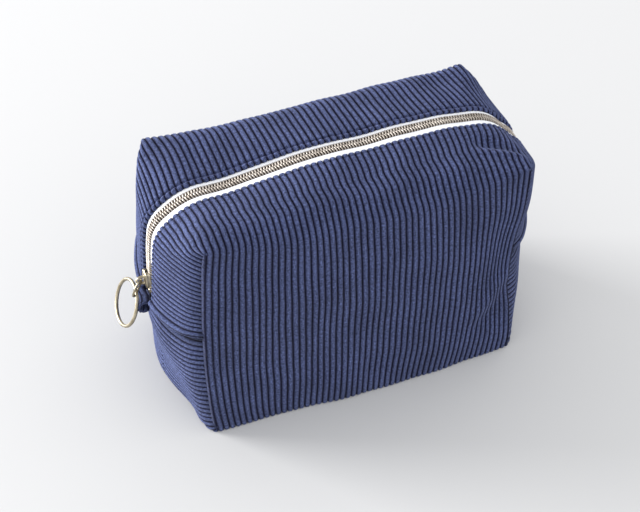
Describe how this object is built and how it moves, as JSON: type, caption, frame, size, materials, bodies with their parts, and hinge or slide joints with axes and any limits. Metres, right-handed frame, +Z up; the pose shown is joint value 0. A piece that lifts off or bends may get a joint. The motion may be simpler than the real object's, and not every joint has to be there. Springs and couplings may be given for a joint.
{
  "type": "zippered pouch",
  "caption": "Boxy corduroy pouch with a lined inside and a coil zip over the top and down both ends, closed by a slider with a ring pull.",
  "frame": {"origin": "middle of the base, on the surface it stands on", "axes": "+X along the zip, away from the end where the slider rests; -Y out of the front panel; +Z up"},
  "size_m": [0.2416, 0.1068, 0.1396],
  "materials": {
    "corduroy": "wide-wale cotton corduroy, soft nap",
    "lining": "plain-weave cotton, matt",
    "zip_tape": "woven polyester tape",
    "zip_coil": "metallised nylon coil, pale antique silver",
    "antique_brass": "pale antique brass, satin",
    "thread": "polyester sewing thread",
    "binding": "cotton bias binding"
  },
  "bodies": {
    "pouch": {"bottom_stop": "antique_brass", "corner_binding_left_back_lower": "binding", "corner_binding_left_front_lower": "binding", "corner_binding_right_back_lower": "binding", "corner_binding_right_front_lower": "binding", "end_seam_binding_left": "binding", "end_seam_binding_right": "binding", "lining_back_lower": "lining", "lining_front_lower": "lining", "outer_back_lower": "corduroy", "outer_front_lower": "corduroy", "tab_left": "corduroy", "tab_right": "corduroy", "top_stop_back": "antique_brass", "top_stop_front": "antique_brass"},
    "front_lip": {"outer_front_upper": "corduroy", "lining_front_upper": "lining", "zip_tape_front": "zip_tape", "zip_coil_front": "zip_coil", "topstitch_front": "thread", "corner_binding_left_front_upper": "binding", "corner_binding_right_front_upper": "binding"},
    "back_lip": {"outer_back_upper": "corduroy", "lining_back_upper": "lining", "zip_tape_back": "zip_tape", "zip_coil_back": "zip_coil", "topstitch_back": "thread", "corner_binding_left_back_upper": "binding", "corner_binding_right_back_upper": "binding"},
    "slider": {"slider_body": "antique_brass", "slider_bridge": "antique_brass"},
    "link": {"pull_link": "antique_brass"},
    "ring": {"pull_ring": "antique_brass"}
  },
  "joints": [
    {"name": "front_lip_turn", "type": "hinge", "parent": "pouch", "child": "front_lip", "pos_m": [0, -0.05275, 0.064], "axis": [1, 0, 0], "range_deg": [0, 20], "deforming": ["zip_tape_front", "zip_coil_front"]},
    {"name": "back_lip_turn", "type": "hinge", "parent": "pouch", "child": "back_lip", "pos_m": [0, 0.05275, 0.064], "axis": [-1, 0, 0], "range_deg": [0, 20], "deforming": ["zip_tape_back", "zip_coil_back"]},
    {"name": "zip_slide", "type": "slide", "parent": "pouch", "child": "slider", "axis": [0.0748, 0, 0.9972], "range_m": [0, 0.026]},
    {"name": "link_swing", "type": "hinge", "parent": "slider", "child": "link", "pos_m": [-0.11308, 0, 0.078], "axis": [0, 1, 0], "range_deg": [0, 90]},
    {"name": "ring_swing", "type": "hinge", "parent": "link", "child": "ring", "pos_m": [-0.11568, 0, 0.07086], "axis": [0.1281, 0.9397, 0.3171], "range_deg": [0, 60]}
  ]
}
